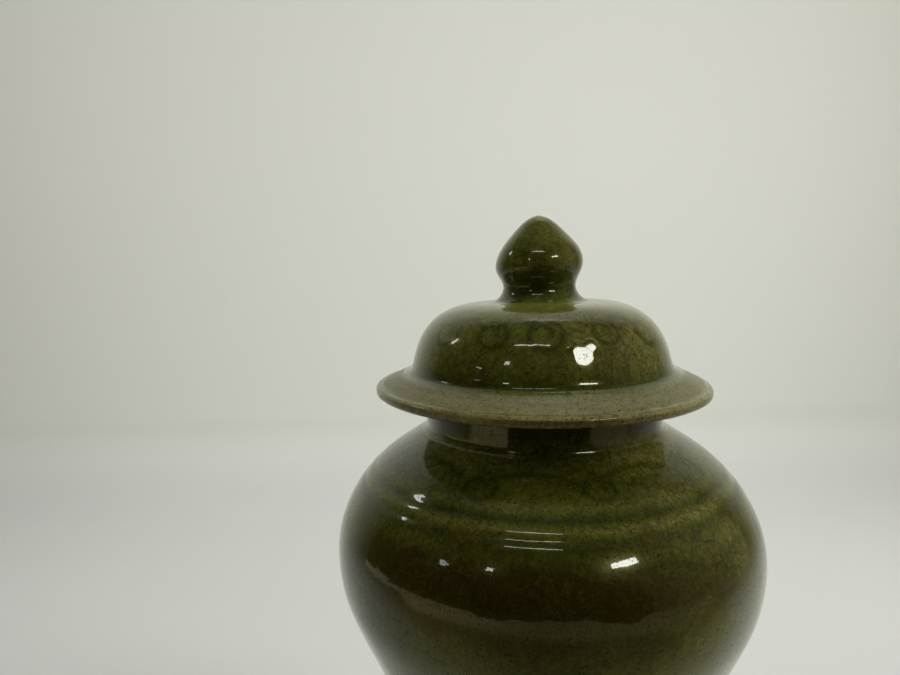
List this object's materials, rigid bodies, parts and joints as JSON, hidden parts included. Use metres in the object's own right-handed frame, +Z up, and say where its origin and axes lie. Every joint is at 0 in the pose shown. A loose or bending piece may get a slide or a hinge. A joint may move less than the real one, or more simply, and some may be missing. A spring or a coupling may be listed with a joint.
{
  "type": "ginger jar",
  "caption": "Small shouldered storage jar on a narrow waisted foot, with a flanged domed lid that lifts off by its bud-shaped knob.",
  "frame": {"origin": "centre of the circle the foot stands on, on the tabletop", "axes": "+Z up along the axis the jar was turned on, through the knob's tip; the jar looks the same from every side, so +X and +Y are any two level directions at right angles"},
  "size_m": [0.0974, 0.0974, 0.1685],
  "materials": {
    "glaze": "glossy olive green glaze, speckled and finely crackled",
    "bare_clay": "matte unglazed stoneware"
  },
  "bodies": {
    "jar": {"jar_body": "glaze", "foot_ring": "bare_clay"},
    "lid": {"lid_shell": "glaze", "lid_collar": "bare_clay", "lid_finial": "glaze"}
  },
  "joints": [
    {"name": "lid_lift", "type": "slide", "parent": "jar", "child": "lid", "axis": [0, 0, 1], "range_m": [0, 0.04]}
  ]
}
